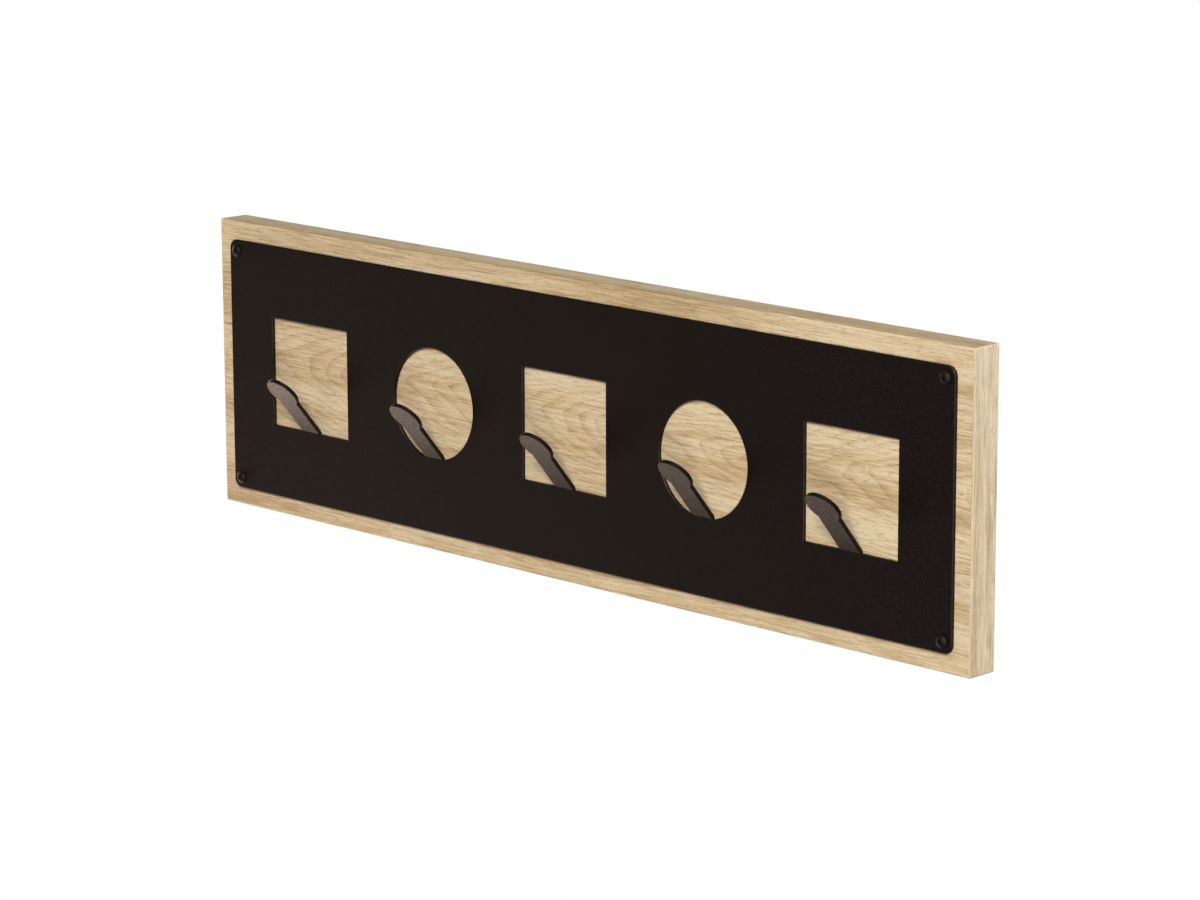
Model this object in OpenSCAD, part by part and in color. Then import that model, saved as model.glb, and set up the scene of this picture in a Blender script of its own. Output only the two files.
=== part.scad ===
// Wall hook rack: an edge-banded board that carries one sheet-metal plate.
// Five windows are cut in the plate, square and round by turns, and a hook is
// bent out of each one. The rack hangs on two keyhole hangers let into its back.
//
// Millimetres. The origin is the centre of the back face, which lies on the wall.
// +X runs along the board, +Y points into the wall and +Z is up.

/* [Board] */
// Length of the board
board_l = 540; // [430:5:900]
// Height of the board
board_h = 160; // [126:1:300]
// Thickness of the finished board
board_t = 18; // [15:0.5:30]
// Thickness of the front and back laminates
laminate_t = 0.8; // [0.4:0.1:1.5]
// Thickness of the edge bands
band_t = 1; // [0.5:0.1:2]
// Radius of the softened arrises of the edge bands
arris_r = 0.9; // [0.2:0.1:2]

/* [Hook plate] */
// Bare board left showing around the plate
plate_margin = 10; // [3:0.5:20]
// Thickness of the coated sheet
sheet_t = 2.2; // [1.5:0.1:3]
// Radius of the plate's corners
plate_corner_r = 5; // [1:0.5:12]
// Distance from each end of the plate to the nearest hook
end_to_hook = 64.5; // [50:0.5:80]
// Number of hooks
hook_count = 5; // [2:1:5]
// Side of the square windows
square_window = 60; // [48:0.5:72]
// Diameter of the round windows
round_window_d = 60; // [48:0.5:72]

/* [Hooks] */
// Angle that the hooks lean out from the plate
hook_lean = 40; // [30:1:55]
// Width of the stem
stem_w = 14; // [8:0.5:18]
// Diameter of the round head
head_d = 20; // [12:0.5:28]
// Length from the start of the bend to the centre of the head
head_reach = 32; // [22:0.5:36]
// Inner radius of the bend
bend_r = 1.2; // [0.8:0.1:3]
// Height of the bend's start above the edge of the window
hook_rise = 0.2; // [0.1:0.1:2]

/* [Plate screws] */
// Distance from the screws to the edges of the plate
screw_inset = 6; // [4.5:0.5:12]
// Diameter of the pan head
screw_head_d = 6.5; // [5:0.1:8]
// Height of the pan head
screw_head_h = 2; // [1.5:0.1:3]
// Diameter of the shank
screw_d = 3; // [2:0.1:3.5]
// Length of the shank under the head
screw_l = 13; // [8:0.5:16]
// Width of a wing of the cross recess
recess_wing_w = 0.9; // [0.5:0.1:1.2]
// Span of the cross recess
recess_span = 3.4; // [2:0.1:4]
// Depth of the cross recess
recess_depth = 1.3; // [0.6:0.1:1.6]
// Radial clearance round the shank in the plate
screw_clearance = 0.3; // [0.1:0.05:0.5]
// Radial clearance round the shank in the board
pilot_clearance = 0.05; // [0:0.01:0.1]

/* [Hangers] */
// Distance from each end of the board to the nearest hanger
end_to_hanger = 90; // [60:1:140]
// Height of the screw seat in the hangers above the middle of the board
seat_z = 35; // [20:1:45]
// Width of a hanger
hanger_w = 50; // [44:1:70]
// Height of a hanger
hanger_h = 28; // [26:1:40]
// Thickness of a hanger
hanger_t = 1.5; // [1:0.1:2]
// Corner radius of a hanger
hanger_corner_r = 3; // [1:0.5:6]
// Gap round a hanger in its pocket
hanger_gap = 0.3; // [0.1:0.1:1]
// Diameter of the entry hole of the keyhole
entry_d = 9; // [8:0.1:12]
// Width of the keyhole's slot
slot_w = 4.6; // [4:0.1:5.5]
// Height from the centre of the entry hole to the seat of the slot
slot_rise = 9; // [7:0.5:14]
// Depth of the hollow behind the keyhole, for the head of a wall screw
head_hollow_depth = 5; // [4:0.5:6]
// Distance between the screws of a hanger
hanger_screw_pitch = 38; // [34:1:56]
// Diameter of the countersunk head of a hanger screw
hanger_head_d = 6; // [5:0.1:7]
// Diameter of the shank of a hanger screw
hanger_screw_d = 3; // [2:0.1:3.5]
// Length of a hanger screw
hanger_screw_l = 11; // [8:0.5:12]

/* [Hidden] */

$fn = 64;
// Overshoot of a cutter past the face that it cuts
over = 1;

// Core and laminates
core_l = board_l - 2 * band_t;
core_h = board_h - 2 * band_t;
round_r = min(arris_r, band_t);

// Plate
plate_l = board_l - 2 * plate_margin;
plate_h = board_h - 2 * plate_margin;
plate_front_y = -board_t - sheet_t;
hook_pitch = (plate_l - 2 * end_to_hook) / (hook_count - 1);
hook_x = [for (i = [0:hook_count - 1]) (i - (hook_count - 1) / 2) * hook_pitch];
// Height of the round window's edge, at the sides of the stem, above its lowest point
chord_rise = round_window_d / 2 - sqrt(pow(round_window_d / 2, 2) - pow(stem_w / 2, 2));
bend_outer_r = bend_r + sheet_t;
// Straight length of a hook past its bend, to the centre of its head
straight_l = head_reach - bend_r * hook_lean * PI / 180;
// Flats that make up the bend
bend_steps = 8;

// Screws of the plate
screw_x = plate_l / 2 - screw_inset;
screw_z = plate_h / 2 - screw_inset;
screw_tip_l = screw_d;

// Hangers
hanger_x = board_l / 2 - end_to_hanger;
entry_z = seat_z - slot_rise;
// The keyhole stands in the middle of the hanger's height
hanger_z = (seat_z + slot_w / 2 + entry_z - entry_d / 2) / 2;
hanger_countersink_h = (hanger_head_d - hanger_screw_d) / 2;
hanger_tip_l = hanger_screw_d;
// Room around the head of the wall screw, on the diameter
hollow_margin = 3;

board_color = "BurlyWood";
coat_color = [0.12, 0.11, 0.1];
zinc_color = "Silver";

// Upright slot of width w, with round ends centred at the heights z_low and z_high
module slot(w, z_low, z_high) {
    for (z = [z_low, z_high]) translate([0, z]) circle(d = w);
    translate([-w / 2, z_low]) square([w, z_high - z_low]);
}

// Rectangle centred on the origin, with round corners
module rounded_rect(w, h, r) {
    square([w - 2 * r, h], center = true);
    square([w, h - 2 * r], center = true);
    for (sx = [-1, 1], sy = [-1, 1])
        translate([sx * (w / 2 - r), sy * (h / 2 - r)]) circle(r);
}

// Slab between the depths y_front and y_back, cut to the outline that its children draw in X and Z
module slab(y_front, y_back) {
    translate([0, y_back, 0]) rotate([90, 0, 0]) linear_extrude(y_back - y_front) children();
}

// Round bar or bore that runs from y_from towards +Y
module rod(x, y_from, z, d, l) {
    translate([x, y_from, z]) rotate([-90, 0, 0]) cylinder(d = d, h = l);
}

// The finished board with its arrises softened
module board_envelope() {
    intersection() {
        slab(-board_t, 0) rounded_rect(board_l, board_h, round_r);
        translate([0, -board_t / 2, -board_h / 2])
            linear_extrude(board_h) rounded_rect(board_l, board_t, round_r);
        translate([board_l / 2, -board_t / 2, 0]) rotate([0, -90, 0])
            linear_extrude(board_l) rounded_rect(board_h, board_t, round_r);
    }
}

// What is cut out of the core and the laminates for screws and hangers
module board_cuts() {
    for (sx = [-1, 1], sz = [-1, 1])
        rod(sx * screw_x, -board_t - over, sz * screw_z, screw_d + 2 * pilot_clearance, screw_l - sheet_t + over);
    for (sx = [-1, 1]) translate([sx * hanger_x, 0, 0]) {
        slab(-hanger_t, over) translate([0, hanger_z])
            rounded_rect(hanger_w + 2 * hanger_gap, hanger_h + 2 * hanger_gap, hanger_corner_r + hanger_gap);
        head_hollow();
        for (side = [-1, 1])
            rod(side * hanger_screw_pitch / 2, -hanger_screw_l, hanger_z,
                hanger_screw_d + 2 * pilot_clearance, hanger_screw_l + over);
    }
}

// Hollow in which the head of a wall screw slides up behind the keyhole
module head_hollow() {
    slab(-hanger_t - head_hollow_depth, 0) slot(entry_d + hollow_margin, entry_z, seat_z);
}

module board_core() {
    color("Tan") difference() {
        slab(-board_t + laminate_t, -laminate_t) square([core_l, core_h], center = true);
        board_cuts();
    }
}

// One laminate, between the depths y_front and y_back
module laminate(y_front, y_back) {
    color(board_color) difference() {
        slab(y_front, y_back) square([core_l, core_h], center = true);
        board_cuts();
    }
}

// Band along the top (1) or the bottom (-1), between the end bands
module long_edge_band(side) {
    color(board_color) intersection() {
        board_envelope();
        translate([-core_l / 2, -board_t, side > 0 ? core_h / 2 : -board_h / 2])
            cube([core_l, board_t, band_t]);
    }
}

// Band over the left end (-1) or the right end (1), the full height of the board
module end_band(side) {
    color(board_color) intersection() {
        board_envelope();
        translate([side > 0 ? core_l / 2 : -board_l / 2, -board_t, -board_h / 2])
            cube([band_t, board_t, board_h]);
    }
}

// Odd hooks stand in square windows and even ones in round windows
module window(i) {
    if (i % 2 == 0) square(square_window, center = true);
    else circle(d = round_window_d);
}

// Point of the bend at radius r and angle a, seen from the side
function bend_point(r, a) = [r * cos(a), r * sin(a)];

// Point on the face at radius r where the hook is certain to have ended, seen from the side
function strip_end(r) = bend_point(r, hook_lean) + (straight_l + head_d) * [-sin(hook_lean), cos(hook_lean)];

// Side view of the bent strip that a hook is cut from, with the depth along X, the height
// along Y and the centre of the bend at the origin
module strip_profile(foot_h) {
    turns = [for (k = [0:bend_steps]) hook_lean * k / bend_steps];
    polygon(concat(
        [[bend_outer_r, -foot_h]], [for (a = turns) bend_point(bend_outer_r, a)], [strip_end(bend_outer_r)],
        [strip_end(bend_r)], [for (k = [bend_steps:-1:0]) bend_point(bend_r, turns[k])], [[bend_r, -foot_h]]));
}

// Face view of a hook: its stem, with a tail that reaches down past the foot, and its round head
module hook_outline(foot_h) {
    tail_l = bend_outer_r + foot_h + over;
    translate([-stem_w / 2, -tail_l]) square([stem_w, tail_l + straight_l]);
    translate([0, straight_l]) circle(d = head_d);
}

// Hook i, standing on the lower edge of its window
module hook(i) {
    square_kind = i % 2 == 0;
    edge_z = square_kind ? -square_window / 2 : -round_window_d / 2;
    bend_z = edge_z + hook_rise + (square_kind ? 0 : chord_rise);
    // The flat foot runs down into the plate
    foot_h = bend_z - edge_z + over;
    translate([hook_x[i], plate_front_y - bend_r, bend_z]) rotate([90, 0, 90]) intersection() {
        linear_extrude(head_d + 2 * over, center = true) strip_profile(foot_h);
        rotate(hook_lean) rotate([0, 90, 0])
            linear_extrude(4 * bend_outer_r, center = true) hook_outline(foot_h);
    }
}

module hook_plate() {
    color(coat_color) union() {
        difference() {
            slab(plate_front_y, -board_t) rounded_rect(plate_l, plate_h, plate_corner_r);
            for (i = [0:hook_count - 1])
                slab(plate_front_y - over, -board_t + over) translate([hook_x[i], 0]) window(i);
            for (sx = [-1, 1], sz = [-1, 1])
                rod(sx * screw_x, plate_front_y - over, sz * screw_z,
                    screw_d + 2 * screw_clearance, sheet_t + 2 * over);
        }
        for (i = [0:hook_count - 1]) hook(i);
    }
}

// Pan head screw with a cross recess, its head down on the face of the plate
module plate_screw(sx, sz) {
    // The dome stands on a short rim, and they are the height of the head together
    rim_h = screw_head_h / 3;
    dome_h = screw_head_h - rim_h;
    dome_r = (pow(screw_head_d / 2, 2) + pow(dome_h, 2)) / (2 * dome_h);
    translate([sx * screw_x, plate_front_y, sz * screw_z]) color(coat_color) union() {
        difference() {
            intersection() {
                translate([0, -screw_head_h + dome_r, 0]) rotate([90, 0, 0]) sphere(dome_r);
                rod(0, -screw_head_h - over, 0, screw_head_d, screw_head_h + over);
            }
            for (turn = [0, 90]) rotate([0, turn, 0])
                translate([-recess_span / 2, -screw_head_h - over, -recess_wing_w / 2])
                    cube([recess_span, recess_depth + over, recess_wing_w]);
        }
        rod(0, -rim_h, 0, screw_d, rim_h + screw_l - screw_tip_l);
        translate([0, screw_l - screw_tip_l, 0]) rotate([-90, 0, 0])
            cylinder(d1 = screw_d, d2 = screw_d / 10, h = screw_tip_l);
    }
}

// Keyhole hanger, let in flush with the back of the board
module hanger_plate(sx) {
    translate([sx * hanger_x, 0, 0]) color(zinc_color) difference() {
        slab(-hanger_t, 0) translate([0, hanger_z]) rounded_rect(hanger_w, hanger_h, hanger_corner_r);
        rod(0, -hanger_t - over, entry_z, entry_d, hanger_t + 2 * over);
        slab(-hanger_t - over, over) slot(slot_w, entry_z, seat_z);
        for (side = [-1, 1]) {
            rod(side * hanger_screw_pitch / 2, -hanger_t - over, hanger_z,
                hanger_screw_d + 2 * screw_clearance, hanger_t + 2 * over);
            hanger_countersink(side);
        }
    }
}

// Cone of a hanger's screw hole, or of the head that fills it
module hanger_countersink(side) {
    translate([side * hanger_screw_pitch / 2, -hanger_countersink_h, hanger_z]) rotate([-90, 0, 0])
        cylinder(d1 = hanger_screw_d, d2 = hanger_head_d, h = hanger_countersink_h);
}

// Countersunk screw of a hanger, its head flush with the back of the board
module hanger_screw(sx, side) {
    shank_l = hanger_screw_l - hanger_countersink_h - hanger_tip_l;
    translate([sx * hanger_x, 0, 0]) color(zinc_color) difference() {
        union() {
            hanger_countersink(side);
            translate([side * hanger_screw_pitch / 2, 0, hanger_z]) {
                rod(0, -hanger_countersink_h - shank_l, 0, hanger_screw_d, shank_l);
                translate([0, -hanger_countersink_h - shank_l, 0]) rotate([90, 0, 0])
                    cylinder(d1 = hanger_screw_d, d2 = hanger_screw_d / 10, h = hanger_tip_l);
            }
        }
        for (turn = [0, 90])
            translate([side * hanger_screw_pitch / 2, 0, hanger_z]) rotate([0, turn, 0])
                translate([-recess_span / 2, -recess_depth, -recess_wing_w / 2])
                    cube([recess_span, recess_depth + over, recess_wing_w]);
    }
}

board_core();
laminate(-board_t, -board_t + laminate_t);  // front_laminate
laminate(-laminate_t, 0);  // back_laminate
long_edge_band(1);  // top_edge_band
long_edge_band(-1);  // bottom_edge_band
end_band(-1);  // left_edge_band
end_band(1);  // right_edge_band
hook_plate();
for (side = ["left", "right"]) {
    sx = side == "left" ? -1 : 1;
    for (level = ["top", "bottom"])
        plate_screw(sx, level == "top" ? 1 : -1);
    hanger_plate(sx);
    for (place = ["inner", "outer"])
        hanger_screw(sx, place == "outer" ? sx : -sx);
}
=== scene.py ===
import math
import bmesh
import bpy
from mathutils import Matrix
from mathutils import Vector


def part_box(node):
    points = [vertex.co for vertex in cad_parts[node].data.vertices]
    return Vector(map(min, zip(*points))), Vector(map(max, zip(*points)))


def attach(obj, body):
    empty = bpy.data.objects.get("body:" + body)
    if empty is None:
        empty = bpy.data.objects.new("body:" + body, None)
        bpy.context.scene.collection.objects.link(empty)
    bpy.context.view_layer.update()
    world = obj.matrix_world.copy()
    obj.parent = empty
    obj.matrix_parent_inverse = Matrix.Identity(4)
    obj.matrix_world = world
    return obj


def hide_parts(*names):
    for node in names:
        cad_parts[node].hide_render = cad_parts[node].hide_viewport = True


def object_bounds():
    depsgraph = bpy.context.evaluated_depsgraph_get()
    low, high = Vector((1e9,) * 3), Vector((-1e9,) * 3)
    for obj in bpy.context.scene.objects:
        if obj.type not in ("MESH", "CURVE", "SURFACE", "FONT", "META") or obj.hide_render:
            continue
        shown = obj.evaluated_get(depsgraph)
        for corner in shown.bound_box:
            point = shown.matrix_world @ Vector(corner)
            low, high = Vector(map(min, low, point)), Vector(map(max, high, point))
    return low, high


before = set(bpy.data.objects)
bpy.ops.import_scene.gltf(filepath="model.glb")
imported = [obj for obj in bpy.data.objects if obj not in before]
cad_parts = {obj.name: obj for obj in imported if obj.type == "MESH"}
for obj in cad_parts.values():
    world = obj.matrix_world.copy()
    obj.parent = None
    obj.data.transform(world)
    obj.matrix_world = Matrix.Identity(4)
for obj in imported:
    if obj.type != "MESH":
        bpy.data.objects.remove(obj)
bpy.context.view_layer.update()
mm = 0.001
near = 0.01 * mm    # points closer than this count as one place
loose = 0.1 * mm    # for picking a face by its middle
print("frame loaded")


# Helpers for modelling: select by place or normal, shape in edit mode, cut, copy and join
def deselectAll():
    if bpy.context.mode != "OBJECT":
        bpy.ops.object.mode_set(mode="OBJECT")
    bpy.ops.object.select_all(action="DESELECT")


def activate(piece):
    deselectAll()
    piece.select_set(True)
    bpy.context.view_layer.objects.active = piece


def startPiece(name, addShape, **settings):
    deselectAll()
    addShape(**settings)
    piece = bpy.context.object
    piece.name = name
    piece.data.name = name
    bpy.ops.object.transform_apply(location=True, rotation=True, scale=True)
    return piece


def edit(piece, kind="FACE"):
    activate(piece)
    bpy.ops.object.mode_set(mode="EDIT")
    bpy.ops.mesh.select_mode(type=kind)
    bpy.ops.mesh.select_all(action="DESELECT")


def editMesh():
    return bmesh.from_edit_mesh(bpy.context.object.data)


def pickFaces(test):
    mesh = editMesh()
    bpy.ops.mesh.select_mode(type="FACE")
    bpy.ops.mesh.select_all(action="DESELECT")
    for face in mesh.faces:
        if test(face.calc_center_median(), face.normal):
            face.select_set(True)
    bmesh.update_edit_mesh(bpy.context.object.data)


def pickEdges(test):
    mesh = editMesh()
    bpy.ops.mesh.select_mode(type="EDGE")
    bpy.ops.mesh.select_all(action="DESELECT")
    for edge in mesh.edges:
        if test(edge):
            edge.select_set(True)
    bmesh.update_edit_mesh(bpy.context.object.data)


def pickPoints(test):
    mesh = editMesh()
    bpy.ops.mesh.select_mode(type="VERT")
    bpy.ops.mesh.select_all(action="DESELECT")
    for point in mesh.verts:
        if test(point.co):
            point.select_set(True)
    bmesh.update_edit_mesh(bpy.context.object.data)


def stretch(x, y, z, center):
    bpy.ops.transform.resize(value=(x, y, z), center_override=center)


def extrude(x, y, z):
    bpy.ops.mesh.extrude_region_move(TRANSFORM_OT_translate={"value": (x, y, z)})


def leaveEdit():
    bpy.ops.object.mode_set(mode="OBJECT")


def applyModifier(piece, kind, **settings):
    modifier = piece.modifiers.new(kind.title(), kind)
    for key, value in settings.items():
        setattr(modifier, key, value)
    activate(piece)
    bpy.ops.object.modifier_apply(modifier=modifier.name)


def cut(piece, cutter):
    applyModifier(piece, "BOOLEAN", operation="DIFFERENCE", solver="EXACT", object=cutter)
    bpy.data.objects.remove(cutter, do_unlink=True)


def copyTo(piece, name, x, y, z):
    twin = piece.copy()
    twin.data = piece.data.copy()
    twin.name = name
    twin.data.name = name
    bpy.context.collection.objects.link(twin)
    twin.location = (x, y, z)
    activate(twin)
    bpy.ops.object.transform_apply(location=True, rotation=True, scale=True)
    return twin


def joinAll(name, pieces):
    activate(pieces[0])
    for piece in pieces:
        piece.select_set(True)
    bpy.ops.object.join()
    joined = bpy.context.object
    joined.name = name
    joined.data.name = name
    return joined


def turnAboutX(piece, angle, location=(0, 0, 0)):
    piece.rotation_euler = (angle, 0, 0)
    piece.location = location
    activate(piece)
    bpy.ops.object.transform_apply(location=True, rotation=True, scale=True)


def closeMesh(piece, gap):
    edit(piece, "VERT")
    bpy.ops.mesh.select_all(action="SELECT")
    bpy.ops.mesh.remove_doubles(threshold=gap)
    bpy.ops.mesh.normals_make_consistent(inside=False)
    leaveEdit()


def convexRim(edge, angle):
    return len(edge.link_faces) == 2 and edge.is_convex and edge.calc_face_angle() > angle


def alongY(edge):
    way = (edge.verts[1].co - edge.verts[0].co).normalized()
    return abs(way.y) > 0.999


def alongX(edge):
    way = (edge.verts[1].co - edge.verts[0].co).normalized()
    return abs(way.x) > 0.999


def smooth(piece, angle):
    activate(piece)
    bpy.ops.object.shade_smooth_by_angle(angle=math.radians(angle))
    applyModifier(piece, "WEIGHTED_NORMAL", mode="FACE_AREA", weight=100, keep_sharp=True)


def settle(piece, material, slotName, *nodes):
    piece.data.materials.clear()
    piece.data.materials.append(material)
    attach(piece, "root")
    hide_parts(*nodes)


def middleOf(node):
    low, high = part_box(node)
    return (low + high) / 2


# Helpers for materials. This one turns an sRGB hex colour to linear
def linear(hexColour):
    parts = [int(hexColour[i:i + 2], 16) / 255 for i in (1, 3, 5)]
    return [p / 12.92 if p <= 0.04045 else ((p + 0.055) / 1.055) ** 2.4 for p in parts] + [1.0]


def newMaterial(name):
    material = bpy.data.materials.new(name)
    material.use_nodes = True
    material.node_tree.nodes.clear()
    return material, material.node_tree


def addNode(tree, kind, settings=None, **links):
    node = tree.nodes.new(kind)
    for key, value in (settings or {}).items():
        if isinstance(key, str) and hasattr(node, key):
            setattr(node, key, value)
        else:
            node.inputs[key].default_value = value
    for key, source in links.items():
        place = int(key[1:]) if key[1:].isdigit() else key.replace("_", " ")
        tree.links.new(source, node.inputs[place])
    return node


def setRamp(node, stops):
    ramp = node.color_ramp
    while len(ramp.elements) > 1:
        ramp.elements.remove(ramp.elements[-1])
    ramp.elements[0].position = stops[0][0]
    ramp.elements[0].color = stops[0][1]
    for place, colour in stops[1:]:
        ramp.elements.new(place).color = colour


# Oak decor laminate, a printed and embossed paper pressed on the board: curved growth rings, fine
# fibres along the grain, short dark pores, a few thin dark streaks and a low sheen
oak = {
    "ring": 0.95,                      # mm, spacing of the growth rings
    "ringDark": 0.17,                  # how much the late wood of a ring darkens the tone
    "pithDepth": 46,                   # mm, how far behind the board's back the middle of the tree would lie
    "pithHeight": 6,                   # mm
    "pithTilt": 3.2,                   # degrees, which opens the rings into arches
    "waver": 8.0,                      # mm, how far the grain wanders
    "waverSize": (30, 170),            # mm across and along the grain, as in the four below
    "stripeSize": (12, 240),           # the broad stripes
    "fibreSize": (0.95, 26),           # a little wider than real fibres, so that they show
    "veinSize": (0.85, 24),            # the thin dark lines
    "poreSize": (0.7, 5),              # coarser than the real 0.2 mm, so that pores show
    "fibreTone": 0.85,                 # how much the fibres change the tone
    "veinShow": (0.54, 0.66, 0.44),    # noise at which a vein starts and is full, and its darkness
    "poreShow": (0.58, 0.70, 0.42),
    "streakShow": (1.0, 0.3, 0.8),     # the same for a streak, from its rim to its middle
    "toneStops": (0.62, 0.82, 1.06),   # where the dark, middle and pale tones lie
    "face": ("#ac8f66", "#c7ae85", "#d8c4a1"),
    # tones of the upright end bands: the oak's own colours, set paler and less saturated than the face's to
    # paint in the brighter light that falls on the board's ends
    "end": ("#b29a76", "#c8b492", "#d6c6a8"),
    "dark": "#7b5f3f",
    "roughness": 0.5,
    "emboss": 0.06,                    # mm
    "embossStrength": 0.35,
    "darkSinks": 1.4,                  # how much deeper dark lines are pressed than fibres
    # mm: x, z, half length and half width of single dark dashes on the face
    "streaks": ((-262.0, 21.5, 12.0, 0.9), (-86.5, 11.0, 3.2, 0.75), (236.0, 8.0, 3.0, 0.6)),
}


def addStreaks(tree, coords, mask):
    split = addNode(tree, "ShaderNodeSeparateXYZ", Vector=coords)
    start, full, darkness = oak["streakShow"]
    for x, z, halfLength, halfWidth in oak["streaks"]:
        along = addNode(tree, "ShaderNodeMath", {"operation": "SUBTRACT", 1: x * mm},
                        i0=split.outputs["X"])
        across = addNode(tree, "ShaderNodeMath", {"operation": "SUBTRACT", 1: z * mm},
                         i0=split.outputs["Z"])
        alongShare = addNode(tree, "ShaderNodeMath", {"operation": "MULTIPLY", 1: 1 / (halfLength * mm)},
                             i0=along.outputs[0])
        acrossShare = addNode(tree, "ShaderNodeMath", {"operation": "MULTIPLY", 1: 1 / (halfWidth * mm)},
                              i0=across.outputs[0])
        spot = addNode(tree, "ShaderNodeCombineXYZ", X=alongShare.outputs[0], Y=acrossShare.outputs[0])
        reach = addNode(tree, "ShaderNodeVectorMath", {"operation": "LENGTH"}, i0=spot.outputs[0])
        streak = addNode(tree, "ShaderNodeMapRange",
                         {"From Min": start, "From Max": full, "To Min": 0.0, "To Max": darkness},
                         Value=reach.outputs["Value"])
        mask = addNode(tree, "ShaderNodeMath", {"operation": "MAXIMUM"},
                       i0=mask, i1=streak.outputs[0]).outputs[0]
    return mask


def makeOak(name, upright, tones):
    material, tree = newMaterial(name)
    coords = addNode(tree, "ShaderNodeTexCoord").outputs["Object"]

    # stretches a pattern along the grain to the given size
    def grain(source, size, offset):
        across = 1 / (size[0] * mm)
        along = 1 / (size[1] * mm)
        scale = (across, across, along) if upright else (along, across, across)
        return addNode(tree, "ShaderNodeMapping", {"Scale": scale, "Location": offset},
                       Vector=source).outputs["Vector"]

    wander = addNode(tree, "ShaderNodeTexNoise", {"Scale": 1.0, "Detail": 2.0, "Roughness": 0.5},
                     Vector=grain(coords, oak["waverSize"], (3, 1, 5)))
    shift = addNode(tree, "ShaderNodeVectorMath", {"operation": "SUBTRACT", 1: (0.5, 0.5, 0.5)},
                    i0=wander.outputs["Color"])
    push = addNode(tree, "ShaderNodeVectorMath", {"operation": "SCALE", "Scale": oak["waver"] * mm},
                   i0=shift.outputs[0])
    bent = addNode(tree, "ShaderNodeVectorMath", {"operation": "ADD"}, i0=coords, i1=push.outputs[0])
    tilt = math.radians(oak["pithTilt"])
    axis = addNode(tree, "ShaderNodeMapping", {
        "Location": (0, -oak["pithDepth"] * mm, -oak["pithHeight"] * mm), "Rotation": (0, 0, tilt)},
        Vector=bent.outputs[0])
    rings = addNode(tree, "ShaderNodeTexWave", {
        "wave_type": "RINGS", "rings_direction": "Z" if upright else "X", "wave_profile": "SAW",
        "Scale": math.pi / 10 / (oak["ring"] * mm), "Distortion": 0.0},
        Vector=axis.outputs[0])
    stripes = addNode(tree, "ShaderNodeTexNoise", {"Scale": 1.0, "Detail": 3.0, "Roughness": 0.55},
                      Vector=grain(bent.outputs[0], oak["stripeSize"], (3, 1, 5)))
    fibres = addNode(tree, "ShaderNodeTexNoise", {"Scale": 1.0, "Detail": 4.0, "Roughness": 0.65},
                     Vector=grain(bent.outputs[0], oak["fibreSize"], (7, 2, 1)))
    veins = addNode(tree, "ShaderNodeTexNoise", {"Scale": 1.0, "Detail": 3.0, "Roughness": 0.6},
                    Vector=grain(bent.outputs[0], oak["veinSize"], (4, 6, 8)))
    pores = addNode(tree, "ShaderNodeTexNoise", {"Scale": 1.0, "Detail": 2.0, "Roughness": 0.5},
                    Vector=grain(coords, oak["poreSize"], (1, 9, 4)))
    late = addNode(tree, "ShaderNodeMath", {"operation": "POWER", 1: 3.0}, i0=rings.outputs["Fac"])
    ringTone = addNode(tree, "ShaderNodeMath", {"operation": "MULTIPLY_ADD", 1: -oak["ringDark"]},
                       i0=late.outputs[0], i2=stripes.outputs["Fac"])
    tone = addNode(tree, "ShaderNodeMath", {"operation": "MULTIPLY_ADD", 1: oak["fibreTone"]},
                   i0=fibres.outputs["Fac"], i2=ringTone.outputs[0])
    ramp = addNode(tree, "ShaderNodeValToRGB", i0=tone.outputs[0])
    setRamp(ramp, [(place, linear(tones[i])) for i, place in enumerate(oak["toneStops"])])
    start, full, darkness = oak["poreShow"]
    pore = addNode(tree, "ShaderNodeMapRange",
                   {"From Min": start, "From Max": full, "To Min": 0.0, "To Max": darkness},
                   Value=pores.outputs["Fac"])
    start, full, darkness = oak["veinShow"]
    vein = addNode(tree, "ShaderNodeMapRange",
                   {"From Min": start, "From Max": full, "To Min": 0.0, "To Max": darkness},
                   Value=veins.outputs["Fac"])
    mask = addNode(tree, "ShaderNodeMath", {"operation": "MAXIMUM"},
                   i0=pore.outputs[0], i1=vein.outputs[0]).outputs[0]
    if not upright:
        mask = addStreaks(tree, coords, mask)
    body = addNode(tree, "ShaderNodeMix", {"data_type": "RGBA", 7: linear(oak["dark"])},
                   i0=mask, i6=ramp.outputs[0])
    height = addNode(tree, "ShaderNodeMath", {"operation": "MULTIPLY_ADD", 1: -oak["darkSinks"]},
                     i0=mask, i2=fibres.outputs["Fac"])
    bump = addNode(tree, "ShaderNodeBump",
                   {"Strength": oak["embossStrength"], "Distance": oak["emboss"] * mm},
                   Height=height.outputs[0])
    shader = addNode(tree, "ShaderNodeBsdfPrincipled", {"Roughness": oak["roughness"], "IOR": 1.5},
                     Base_Color=body.outputs[2], Normal=bump.outputs[0])
    addNode(tree, "ShaderNodeOutputMaterial", Surface=shader.outputs[0])
    return material


# Raw particleboard: pressed brown chips, seen only behind the keyholes
chips = {
    "pale": "#c4a57a",
    "dark": "#7d5f3e",
    "size": 2.2,          # mm, size of a chip
    "toneStops": (0.1, 0.7),
    "height": 0.3,        # mm
    "bumpStrength": 0.6,
    "roughness": 0.85,
}


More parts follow.
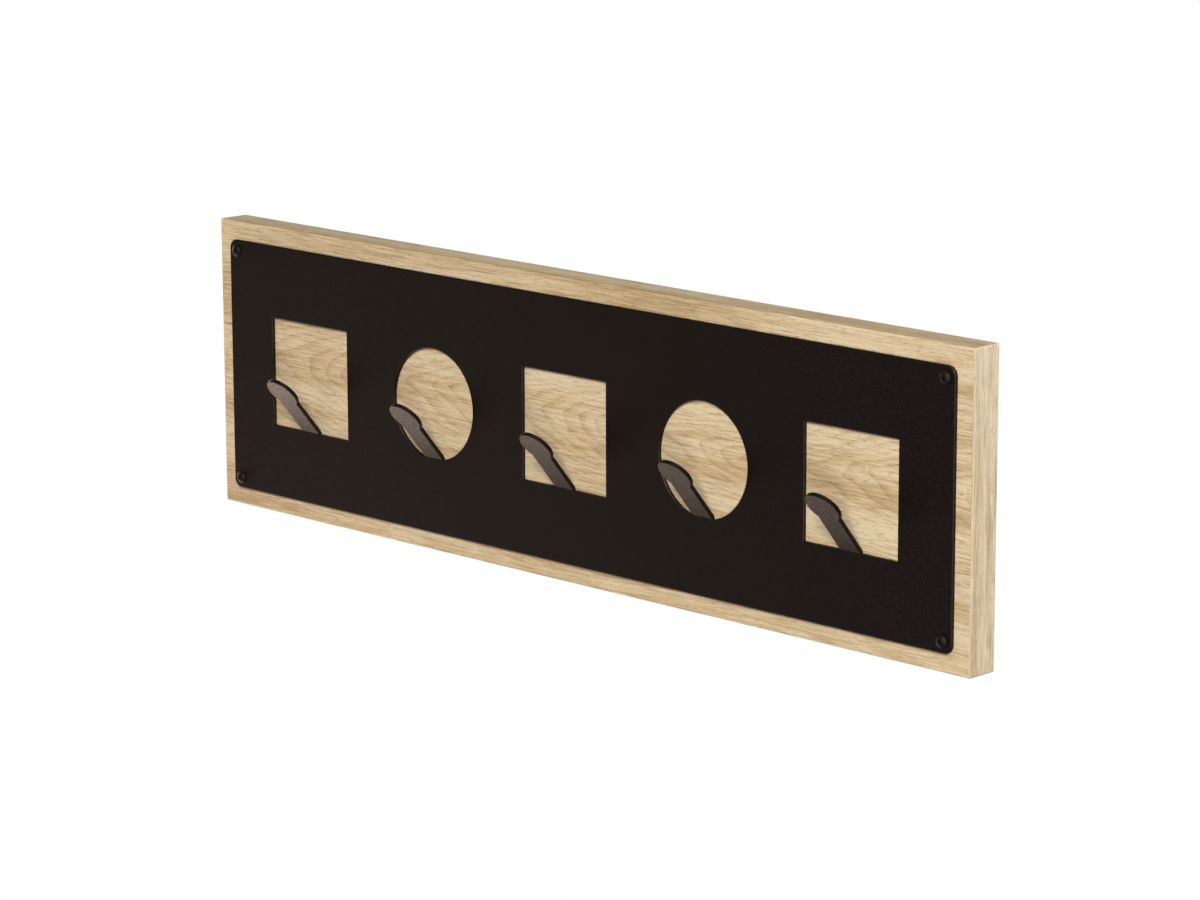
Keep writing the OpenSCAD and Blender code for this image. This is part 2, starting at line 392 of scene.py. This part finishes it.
def makeParticleboard():
    material, tree = newMaterial("pressedParticleboard")
    coords = addNode(tree, "ShaderNodeTexCoord")
    cells = addNode(tree, "ShaderNodeTexVoronoi", {"Scale": 1 / (chips["size"] * mm), "Randomness": 1.0},
                    Vector=coords.outputs["Object"])
    ramp = addNode(tree, "ShaderNodeValToRGB", i0=cells.outputs["Distance"])
    paleStop, darkStop = chips["toneStops"]
    setRamp(ramp, [(paleStop, linear(chips["pale"])), (darkStop, linear(chips["dark"]))])
    bump = addNode(tree, "ShaderNodeBump",
                   {"Strength": chips["bumpStrength"], "Distance": chips["height"] * mm},
                   Height=cells.outputs["Distance"])
    shader = addNode(tree, "ShaderNodeBsdfPrincipled", {"Roughness": chips["roughness"]},
                     Base_Color=ramp.outputs[0], Normal=bump.outputs[0])
    addNode(tree, "ShaderNodeOutputMaterial", Surface=shader.outputs[0])
    return material


# Black polyester powder coat baked on steel: nearly matt, with a fine orange peel that breaks the
# highlights, and a slight warm cast
coat = {
    "colour": "#090707",
    "speck": "#100d0c",
    "speckStops": (0.35, 0.8),
    "roughness": 0.5,
    "roughnessSpread": 0.12,
    "peelRange": (0.3, 0.7),   # noise over which the roughness goes from low to high
    "specular": 0.26,
    "warmth": "#ffe2cc",
    "peel": 1.1,               # mm, width of the orange peel
    "peelHeight": 0.07,        # mm
}

# Black phosphated steel of the screws: a touch lighter, browner and duller than the coat
screwBlack = {"colour": "#0d0b0a", "roughness": 0.55}


def makeCoat(name, colour, roughness):
    material, tree = newMaterial(name)
    coords = addNode(tree, "ShaderNodeTexCoord")
    peel = addNode(tree, "ShaderNodeTexNoise",
                   {"Scale": 1 / (coat["peel"] * mm), "Detail": 3.0, "Roughness": 0.6},
                   Vector=coords.outputs["Object"])
    tone = addNode(tree, "ShaderNodeValToRGB", i0=peel.outputs["Fac"])
    plainStop, speckStop = coat["speckStops"]
    setRamp(tone, [(plainStop, linear(colour)), (speckStop, linear(coat["speck"]))])
    low, high = coat["peelRange"]
    duller = roughness + coat["roughnessSpread"]
    shinier = roughness - coat["roughnessSpread"]
    gloss = addNode(tree, "ShaderNodeMapRange",
                    {"From Min": low, "From Max": high, "To Min": shinier, "To Max": duller},
                    Value=peel.outputs["Fac"])
    bump = addNode(tree, "ShaderNodeBump", {"Strength": 1.0, "Distance": coat["peelHeight"] * mm},
                   Height=peel.outputs["Fac"])
    shader = addNode(tree, "ShaderNodeBsdfPrincipled",
                     {"IOR": 1.5, "Specular IOR Level": coat["specular"],
                      "Specular Tint": linear(coat["warmth"])},
                     Base_Color=tone.outputs[0], Roughness=gloss.outputs[0], Normal=bump.outputs[0])
    addNode(tree, "ShaderNodeOutputMaterial", Surface=shader.outputs[0])
    return material


# Zinc-plated steel: bright, slightly blue and finely spangled, with soft reflections
zinc = {
    "bright": "#c6c9ce",
    "dull": "#b2b6bc",
    "spangle": 3.5,            # mm, size of the crystals
    "spangleRange": (0.3, 0.7),
    "roughness": 0.36,
    "roughnessSpread": 0.04,
}


def makeZinc():
    material, tree = newMaterial("zincPlatedSteel")
    coords = addNode(tree, "ShaderNodeTexCoord")
    spangle = addNode(tree, "ShaderNodeTexNoise", {"Scale": 1 / (zinc["spangle"] * mm), "Detail": 3.0},
                      Vector=coords.outputs["Object"])
    tone = addNode(tree, "ShaderNodeValToRGB", i0=spangle.outputs["Fac"])
    low, high = zinc["spangleRange"]
    setRamp(tone, [(low, linear(zinc["dull"])), (high, linear(zinc["bright"]))])
    duller = zinc["roughness"] + zinc["roughnessSpread"]
    shinier = zinc["roughness"] - zinc["roughnessSpread"]
    gloss = addNode(tree, "ShaderNodeMapRange",
                    {"From Min": low, "From Max": high, "To Min": shinier, "To Max": duller},
                    Value=spangle.outputs["Fac"])
    shader = addNode(tree, "ShaderNodeBsdfPrincipled", {"Metallic": 1.0},
                     Base_Color=tone.outputs[0], Roughness=gloss.outputs[0])
    addNode(tree, "ShaderNodeOutputMaterial", Surface=shader.outputs[0])
    return material


oakFace = makeOak("oakDecorLaminate", False, oak["face"])
oakLongEdge = makeOak("oakEdgeBandLengthwise", False, oak["face"])
# the upright end bands get the paler tones, which paint in the brighter light on the board's ends
oakEndWithPaintedLight = makeOak("oakEdgeBandUpright", True, oak["end"])
particleboard = makeParticleboard()
powderCoat = makeCoat("blackPowderCoat", coat["colour"], coat["roughness"])
blackScrew = makeCoat("blackPhosphatedScrew", screwBlack["colour"], screwBlack["roughness"])
zincSteel = makeZinc()
print("materials made")

cadFinish = {"front_laminate": oakFace, "back_laminate": oakFace, "board_core": particleboard}
for node, material in cadFinish.items():
    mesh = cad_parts[node].data
    mesh.materials.clear()
    mesh.materials.append(material)


# Edge bands, glued round the board and rounded over on their outer arrises
band = {"arris": 0.9, "arrisSteps": 5, "smoothAngle": 40}   # mm and degrees


def makeEdgeBand(name, node, side, isEnd):
    low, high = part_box(node)
    outer = high if side > 0 else low
    piece = startPiece(name, bpy.ops.mesh.primitive_cube_add, size=1, location=middleOf(node),
                       scale=high - low)
    edit(piece)
    if isEnd:
        pickEdges(lambda e: alongX(e) or all(abs(p.co.x - outer.x) < near for p in e.verts))
    else:
        pickEdges(lambda e: alongX(e) and abs(e.verts[0].co.z - outer.z) < near)
    bpy.ops.mesh.bevel(offset=band["arris"] * mm, segments=band["arrisSteps"], affect="EDGES")
    leaveEdit()
    smooth(piece, band["smoothAngle"])
    settle(piece, oakEndWithPaintedLight if isEnd else oakLongEdge, "oak_edge_band", node)


makeEdgeBand("topEdgeBand", "top_edge_band", 1, False)
makeEdgeBand("bottomEdgeBand", "bottom_edge_band", -1, False)
makeEdgeBand("rightEdgeBand", "right_edge_band", 1, True)
makeEdgeBand("leftEdgeBand", "left_edge_band", -1, True)
print("board finished")


# Hook plate: one sheet cut flat, with five windows and a hook bent up from the foot of each
plate = {
    "sheet": 2.2, "cornerRadius": 5, "cornerSteps": 12, "hookCount": 5, "endToHook": 64.5,
    "window": 60, "roundSteps": 128, "stem": 14, "head": 20, "headSteps": 96, "reach": 32,
    "lean": 40, "bendRadius": 1.2, "bendSteps": 14, "arris": 0.5, "arrisSteps": 1,
    "screwHole": 3.6, "screwHoleSteps": 32, "smoothAngle": 40, "sharpAngle": 50,   # mm and degrees
}


def makeWindowCutter(isSquare):
    half = plate["window"] / 2 * mm
    stem = plate["stem"] / 2 * mm
    depth = 3 * plate["sheet"] * mm
    if isSquare:
        cutter = startPiece("squareCutter", bpy.ops.mesh.primitive_cube_add, size=1,
                            scale=(2 * half, depth, 2 * half))
        low = -half
    else:
        cutter = startPiece("roundCutter", bpy.ops.mesh.primitive_cylinder_add, radius=half, depth=depth,
                            vertices=plate["roundSteps"], rotation=(math.pi / 2, 0, 0))
        low = -math.sqrt(half ** 2 - stem ** 2)
    edit(cutter)
    for side in (-1, 1):
        bpy.ops.mesh.select_all(action="SELECT")
        bpy.ops.mesh.bisect(plane_co=(side * stem, 0, 0), plane_no=(1, 0, 0))
    if not isSquare:
        # the hook stands on a short flat at the bottom of the round window
        pickPoints(lambda p: abs(p.x) < stem + near and p.z < 0)
        stretch(1, 1, 0, (0, 0, low))
        pickEdges(lambda e: alongY(e) and e.verts[0].co.z < 0 and abs(e.verts[0].co.x) < stem - near)
        bpy.ops.mesh.dissolve_edges(use_verts=True)
    leaveEdit()
    return cutter, low


def makeHook():
    stem = plate["stem"] / 2 * mm
    radius = plate["head"] / 2 * mm
    inner = plate["bendRadius"] * mm
    outer = inner + plate["sheet"] * mm
    straight = plate["reach"] * mm - inner * math.radians(plate["lean"])
    hook = startPiece("hook", bpy.ops.mesh.primitive_circle_add, vertices=plate["headSteps"], radius=radius,
                      fill_type="NOTHING", rotation=(math.pi / 2, 0, 0), location=(0, inner, straight))
    edit(hook, "VERT")
    # the head is open where the stem joins it
    pickPoints(lambda p: abs(p.x) < stem - near and p.z < straight)
    bpy.ops.mesh.delete(type="VERT")
    ends = [p.co.copy() for p in editMesh().verts if len(p.link_edges) == 1]
    endZ = ends[0].z
    endX = abs(ends[0].x)
    pickPoints(lambda p: abs(p.z - endZ) < near and p.z < straight)
    stretch(stem / endX, 1, 1, (0, inner, endZ))
    bpy.ops.mesh.extrude_vertices_move(TRANSFORM_OT_translate={"value": (0, 0, -endZ)})
    bpy.ops.mesh.edge_face_add()
    bpy.ops.mesh.select_all(action="SELECT")
    bpy.ops.mesh.edge_face_add()
    bpy.ops.mesh.select_all(action="SELECT")
    extrude(0, outer - inner, 0)
    bpy.ops.mesh.select_all(action="SELECT")
    bpy.ops.mesh.normals_make_consistent(inside=False)
    pickFaces(lambda c, n: n.z < -0.9 and abs(c.z) < near)
    bpy.ops.mesh.spin(steps=plate["bendSteps"], dupli=False, angle=math.radians(plate["lean"]),
                      center=(0, 0, 0), axis=(1, 0, 0))
    leaveEdit()
    turnAboutX(hook, math.radians(plate["lean"]))
    # the foot is left open, to be joined to the window's lower edge
    edit(hook)
    pickFaces(lambda c, n: abs(n.z) > 0.99 and abs(c.z) < near)
    bpy.ops.mesh.delete(type="FACE")
    leaveEdit()
    return hook


def makeHookPlate():
    low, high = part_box("hook_plate")
    back = high.y
    front = back - plate["sheet"] * mm
    middle = (back + front) / 2
    length = high.x - low.x
    height = high.z - low.z
    centreX = (low.x + high.x) / 2
    centreZ = (low.z + high.z) / 2
    body = startPiece("hookPlate", bpy.ops.mesh.primitive_cube_add, size=1,
                      location=(centreX, middle, centreZ), scale=(length, back - front, height))
    edit(body)
    pickEdges(alongY)
    bpy.ops.mesh.bevel(offset=plate["cornerRadius"] * mm, segments=plate["cornerSteps"], affect="EDGES")
    leaveEdit()
    pitch = (length - 2 * plate["endToHook"] * mm) / (plate["hookCount"] - 1)
    hook = makeHook()
    cutters = [makeWindowCutter(True), makeWindowCutter(False)]
    holes = []
    hooks = []
    seats = []
    for i in range(plate["hookCount"]):
        x = centreX + (i - (plate["hookCount"] - 1) / 2) * pitch
        cutter, edgeZ = cutters[i % 2]
        holes.append(copyTo(cutter, "windowHole", x, middle, centreZ))
        hooks.append(copyTo(hook, "hook", x, front - plate["bendRadius"] * mm, centreZ + edgeZ))
        seats.append((x, centreZ + edgeZ))
    for corner in ("top_left", "top_right", "bottom_left", "bottom_right"):
        spot = middleOf("plate_screw_" + corner)
        drill = startPiece("drill", bpy.ops.mesh.primitive_cylinder_add, vertices=plate["screwHoleSteps"],
                           radius=plate["screwHole"] / 2 * mm, depth=3 * plate["sheet"] * mm,
                           rotation=(math.pi / 2, 0, 0), location=(spot.x, middle, spot.z))
        holes.append(drill)
    for spare in (hook, cutters[0][0], cutters[1][0]):
        bpy.data.objects.remove(spare, do_unlink=True)
    cut(body, joinAll("windowHoles", holes))
    edit(body)
    for x, z in seats:
        pickFaces(lambda c, n: n.z > 0.99 and abs(c.x - x) < loose and abs(c.z - z) < loose)
        bpy.ops.mesh.delete(type="FACE")
    leaveEdit()
    body = joinAll("hookPlate", [body] + hooks)
    closeMesh(body, near)
    edit(body)
    sharp = math.radians(plate["sharpAngle"])
    pickEdges(lambda e: convexRim(e, sharp) and not alongY(e))
    bpy.ops.mesh.bevel(offset=plate["arris"] * mm, segments=plate["arrisSteps"], affect="EDGES",
                       clamp_overlap=False)
    openEdges = sum(len(e.link_faces) != 2 for e in editMesh().edges)
    leaveEdit()
    smooth(body, plate["smoothAngle"])
    print("hook plate joined with", openEdges, "open edges")
    return body


hookPlate = makeHookPlate()
settle(hookPlate, powderCoat, "black_powder_coat", "hook_plate")
print("hook plate made:", len(hookPlate.data.polygons), "faces")


# Plate screws: pan heads with a cross recess
panScrew = {
    "head": 6.5, "headHeight": 2, "rim": 0.67, "headSteps": 64, "shank": 3, "length": 13, "point": 3,
    "tipShare": 0.1, "recess": 3.4, "wing": 0.9, "recessDepth": 1.3, "recessTaper": 0.45,
    "recessArris": 0.08, "recessArrisSteps": 2, "smoothAngle": 40, "sharpAngle": 50,   # mm and degrees
    "domeRings": (0.97, 0.91, 0.82, 0.70, 0.56, 0.40, 0.22),   # shares of the head's radius
}


def cutRecess(screw, top, size):
    wing = size["wing"] * mm
    depth = size["recessDepth"] * mm
    above = 1 * mm
    cross = startPiece("crossCutter", bpy.ops.mesh.primitive_cube_add, size=1,
                       location=(0, 0, top - depth / 2 + above / 2), scale=(wing, wing, depth + above))
    edit(cross)
    pickFaces(lambda c, n: abs(n.z) < 0.1)
    arm = (size["recess"] * mm - wing) / 2
    bpy.ops.mesh.extrude_faces_move(TRANSFORM_OT_shrink_fatten={"value": arm})
    pickPoints(lambda p: p.z < top - depth / 2)
    stretch(size["recessTaper"], size["recessTaper"], 1, (0, 0, top - depth))
    bpy.ops.mesh.select_all(action="SELECT")
    bpy.ops.mesh.remove_doubles(threshold=near)
    bpy.ops.mesh.normals_make_consistent(inside=False)
    leaveEdit()
    cut(screw, cross)


def makePanScrew():
    radius = panScrew["head"] / 2 * mm
    rim = panScrew["rim"] * mm
    dome = panScrew["headHeight"] * mm - rim
    domeRadius = (radius ** 2 + dome ** 2) / (2 * dome)
    screw = startPiece("panScrew", bpy.ops.mesh.primitive_cylinder_add, vertices=panScrew["headSteps"],
                       radius=radius, depth=rim, location=(0, 0, rim / 2))
    edit(screw)
    pickFaces(lambda c, n: n.z > 0.9)
    ringRadius = radius
    level = rim
    for share in panScrew["domeRings"]:
        nextRadius = radius * share
        nextLevel = rim + math.sqrt(domeRadius ** 2 - nextRadius ** 2) - (domeRadius - dome)
        extrude(0, 0, nextLevel - level)
        stretch(nextRadius / ringRadius, nextRadius / ringRadius, 1, (0, 0, nextLevel))
        ringRadius = nextRadius
        level = nextLevel
    pickFaces(lambda c, n: n.z < -0.9)
    bpy.ops.mesh.inset(thickness=radius - panScrew["shank"] / 2 * mm)
    straight = (panScrew["length"] - panScrew["point"]) * mm
    extrude(0, 0, -straight)
    extrude(0, 0, -panScrew["point"] * mm)
    stretch(panScrew["tipShare"], panScrew["tipShare"], 1, (0, 0, -panScrew["length"] * mm))
    leaveEdit()
    cutRecess(screw, panScrew["headHeight"] * mm, panScrew)
    edit(screw)
    sharp = math.radians(panScrew["sharpAngle"])
    pickEdges(lambda e: convexRim(e, sharp) and e.verts[0].co.z > rim / 2)
    bpy.ops.mesh.bevel(offset=panScrew["recessArris"] * mm, segments=panScrew["recessArrisSteps"],
                       affect="EDGES")
    leaveEdit()
    turnAboutX(screw, math.pi / 2)
    smooth(screw, panScrew["smoothAngle"])
    return screw


patternScrew = makePanScrew()
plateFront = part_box("hook_plate")[1].y - plate["sheet"] * mm
for level in ("Top", "Bottom"):
    for side in ("Left", "Right"):
        node = "plate_screw_" + level.lower() + "_" + side.lower()
        spot = middleOf(node)
        screw = copyTo(patternScrew, "plateScrew" + level + side, spot.x, plateFront, spot.z)
        settle(screw, blackScrew, "black_screw", node)
bpy.data.objects.remove(patternScrew, do_unlink=True)
print("plate screws made")


# Keyhole hangers and their screws, let in flush with the back
hanger = {
    "cornerRadius": 3, "cornerSteps": 8, "entry": 9, "slot": 4.6, "entryBelow": 3.4, "seatAbove": 5.6,
    "keyholeSteps": 64, "screwPitch": 38, "screwHole": 3.6, "screwHoleSteps": 48, "countersink": 6,
    "rim": 0.2, "rimSteps": 2, "mergeGap": 0.002, "smoothAngle": 35, "sharpAngle": 40,   # mm and degrees
}
flatScrew = {
    "head": 6, "headSteps": 48, "shank": 3, "length": 11, "point": 3, "tipShare": 0.1, "recess": 3.4,
    "wing": 0.9, "recessDepth": 1.3, "recessTaper": 0.45, "rim": 0.3, "rimSteps": 3,
    "smoothAngle": 40,   # mm and degrees
}


def makeHanger():
    low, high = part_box("hanger_plate_left")
    thick = high.y - low.y
    piece = startPiece("keyholeHanger", bpy.ops.mesh.primitive_cube_add, size=1,
                       location=(0, -thick / 2, 0), scale=high - low)
    edit(piece)
    pickEdges(alongY)
    bpy.ops.mesh.bevel(offset=hanger["cornerRadius"] * mm, segments=hanger["cornerSteps"], affect="EDGES")
    leaveEdit()
    reach = 4 * thick
    entryZ = -hanger["entryBelow"] * mm
    seatZ = hanger["seatAbove"] * mm
    for z, width in ((entryZ, hanger["entry"]), (seatZ, hanger["slot"])):
        hole = startPiece("keyholeCutter", bpy.ops.mesh.primitive_cylinder_add, radius=width / 2 * mm,
                          vertices=hanger["keyholeSteps"], depth=reach, rotation=(math.pi / 2, 0, 0),
                          location=(0, 0, z))
        cut(piece, hole)
    slot = startPiece("slotCutter", bpy.ops.mesh.primitive_cube_add, size=1,
                      location=(0, 0, (entryZ + seatZ) / 2),
                      scale=(hanger["slot"] * mm, reach, seatZ - entryZ))
    cut(piece, slot)
    for side in (-1, 1):
        small = hanger["screwHole"] / 2 * mm
        wide = hanger["countersink"] / 2 * mm
        drill = startPiece("countersinkCutter", bpy.ops.mesh.primitive_cylinder_add, radius=small,
                           vertices=hanger["screwHoleSteps"], depth=thick,
                           location=(0, 0, -thick - (wide - small) + thick / 2))
        edit(drill)
        pickFaces(lambda c, n: n.z > 0.9)
        extrude(0, 0, wide - small)
        stretch(wide / small, wide / small, 1, (0, 0, 0))
        extrude(0, 0, thick)
        leaveEdit()
        turnAboutX(drill, -math.pi / 2, (side * hanger["screwPitch"] / 2 * mm, 0, 0))
        cut(piece, drill)
    closeMesh(piece, hanger["mergeGap"] * mm)
    edit(piece)
    sharp = math.radians(hanger["sharpAngle"])
    pickEdges(lambda e: convexRim(e, sharp) and not alongY(e))
    bpy.ops.mesh.bevel(offset=hanger["rim"] * mm, segments=hanger["rimSteps"], affect="EDGES")
    leaveEdit()
    smooth(piece, hanger["smoothAngle"])
    return piece


def makeFlatScrew():
    head = flatScrew["head"] / 2 * mm
    shank = flatScrew["shank"] / 2 * mm
    taper = head - shank
    straight = (flatScrew["length"] - flatScrew["point"]) * mm - taper
    screw = startPiece("flatScrew", bpy.ops.mesh.primitive_cylinder_add, vertices=flatScrew["headSteps"],
                       radius=shank, depth=straight, location=(0, 0, -taper - straight / 2))
    edit(screw)
    pickFaces(lambda c, n: n.z > 0.9)
    extrude(0, 0, taper)
    stretch(head / shank, head / shank, 1, (0, 0, 0))
    pickFaces(lambda c, n: n.z < -0.9)
    extrude(0, 0, -flatScrew["point"] * mm)
    stretch(flatScrew["tipShare"], flatScrew["tipShare"], 1, (0, 0, -flatScrew["length"] * mm))
    leaveEdit()
    edit(screw)
    pickEdges(lambda e: all(p.co.z > -near for p in e.verts))
    bpy.ops.mesh.bevel(offset=flatScrew["rim"] * mm, segments=flatScrew["rimSteps"], affect="EDGES")
    leaveEdit()
    cutRecess(screw, 0, flatScrew)
    turnAboutX(screw, -math.pi / 2)
    smooth(screw, flatScrew["smoothAngle"])
    return screw


patternHanger = makeHanger()
patternFlatScrew = makeFlatScrew()
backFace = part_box("hanger_plate_left")[1].y
for side in ("Left", "Right"):
    node = "hanger_plate_" + side.lower()
    spot = middleOf(node)
    piece = copyTo(patternHanger, "keyholeHanger" + side, spot.x, backFace, spot.z)
    settle(piece, zincSteel, "zinc_plated_steel", node)
    for place in ("Inner", "Outer"):
        node = "hanger_screw_" + side.lower() + "_" + place.lower()
        spot = middleOf(node)
        piece = copyTo(patternFlatScrew, "hangerScrew" + side + place, spot.x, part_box(node)[1].y, spot.z)
        settle(piece, zincSteel, "zinc_plated_screw", node)
for spare in (patternHanger, patternFlatScrew):
    bpy.data.objects.remove(spare, do_unlink=True)
print("hangers made")


# Floor, light and camera. Sizes here are in metres, powers in watts and angles in degrees
studio = {"floorDrop": 0.45, "floorSize": 40, "floorGrey": 0.08, "white": 1.0, "fill": 0.06}
lights = {
    "keySoftbox": {"place": (2.0, -2.9, 2.0), "size": (1.2, 1.2), "power": 172},
    "topSoftbox": {"place": (0.1, -0.3, 1.9), "size": (1.0, 1.0), "power": 4},
    "backRightSoftbox": {"place": (1.9, 2.2, 0.45), "size": (1.6, 0.9), "power": 56},
    "backLeftSoftbox": {"place": (-0.4, 2.6, 0.7), "size": (1.0, 0.8), "power": 14},
    "leftSoftbox": {"place": (-2.6, 0.4, 0.0), "size": (1.2, 1.2), "power": 30},
    # warm light from below and the left, which shows the undersides of the hooks
    "lowFillLeft": {"place": (-0.86, 0.0, -0.50), "target": (-0.86, -0.001, 0), "size": (0.66, 0.5),
                    "power": 5.6, "colour": "#ffe8d8"},
    "lowFillRight": {"place": (-0.26, 0.0, -0.50), "target": (-0.26, -0.001, 0), "size": (0.42, 0.5),
                     "power": 1.7, "colour": "#ffe8d8"},
    "leftFront": {"place": (-0.85, -0.62, -0.18), "target": (-0.25, 0, 0), "size": (0.4, 0.4),
                  "power": 0.5, "colour": "#ffe8d8"},
    "lowFront": {"place": (1.2, -1.25, -0.36), "size": (0.4, 0.4), "power": 9},   # lights the arrises
}


def makeFloor():
    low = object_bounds()[0]
    floor = startPiece("studioFloor", bpy.ops.mesh.primitive_plane_add, size=studio["floorSize"],
                       location=(0, 0, low[2] - studio["floorDrop"]))
    material, tree = newMaterial("paleFloor")
    path = addNode(tree, "ShaderNodeLightPath")
    grey = studio["floorGrey"]
    matt = addNode(tree, "ShaderNodeBsdfDiffuse", {"Color": (grey, grey, grey, 1)})
    glow = addNode(tree, "ShaderNodeEmission", {"Color": (1, 1, 1, 1), "Strength": studio["white"]})
    mix = addNode(tree, "ShaderNodeMixShader", i0=path.outputs["Is Camera Ray"],
                  i1=matt.outputs[0], i2=glow.outputs[0])
    addNode(tree, "ShaderNodeOutputMaterial", Surface=mix.outputs[0])
    floor.data.materials.append(material)


def makeWorld():
    world = bpy.data.worlds.new("paleStudio")
    world.use_nodes = True
    tree = world.node_tree
    tree.nodes.clear()
    path = addNode(tree, "ShaderNodeLightPath")
    seen = addNode(tree, "ShaderNodeBackground", {"Color": (1, 1, 1, 1), "Strength": studio["white"]})
    felt = addNode(tree, "ShaderNodeBackground", {"Color": (1, 1, 1, 1), "Strength": studio["fill"]})
    mix = addNode(tree, "ShaderNodeMixShader", i0=path.outputs["Is Camera Ray"],
                  i1=felt.outputs[0], i2=seen.outputs[0])
    addNode(tree, "ShaderNodeOutputWorld", Surface=mix.outputs[0])
    bpy.context.scene.world = world


def addSoftbox(name, place, size, power, target=(0, 0, 0), colour="#ffffff"):
    data = bpy.data.lights.new(name, "AREA")
    data.shape = "RECTANGLE"
    data.size = size[0]
    data.size_y = size[1]
    data.energy = power
    data.color = linear(colour)[:3]
    lamp = bpy.data.objects.new(name, data)
    bpy.context.collection.objects.link(lamp)
    lamp.location = place
    lamp.rotation_euler = (Vector(target) - Vector(place)).to_track_quat("-Z", "Y").to_euler()
    lamp.visible_camera = False


makeFloor()
makeWorld()
for name, light in lights.items():
    addSoftbox(name, **light)

view = {
    "yaw": 44.57, "pitch": 12.47, "roll": -0.16,      # degrees
    "lens": 127.4, "sensor": 36,                      # mm
    "place": (1.5083, -1.5246, 0.4614),
}
cameraData = bpy.data.cameras.new("camera")
cameraData.lens = view["lens"]
cameraData.sensor_width = view["sensor"]
camera = bpy.data.objects.new("camera", cameraData)
bpy.context.collection.objects.link(camera)
turn = Matrix.Rotation(math.radians(view["yaw"]), 4, "Z")
tilt = Matrix.Rotation(math.radians(90 - view["pitch"]), 4, "X")
lean = Matrix.Rotation(math.radians(view["roll"]), 4, "Z")
camera.matrix_world = Matrix.Translation(view["place"]) @ turn @ tilt @ lean
bpy.context.scene.camera = camera
bpy.context.scene.view_settings.view_transform = "Standard"
print("studio made")
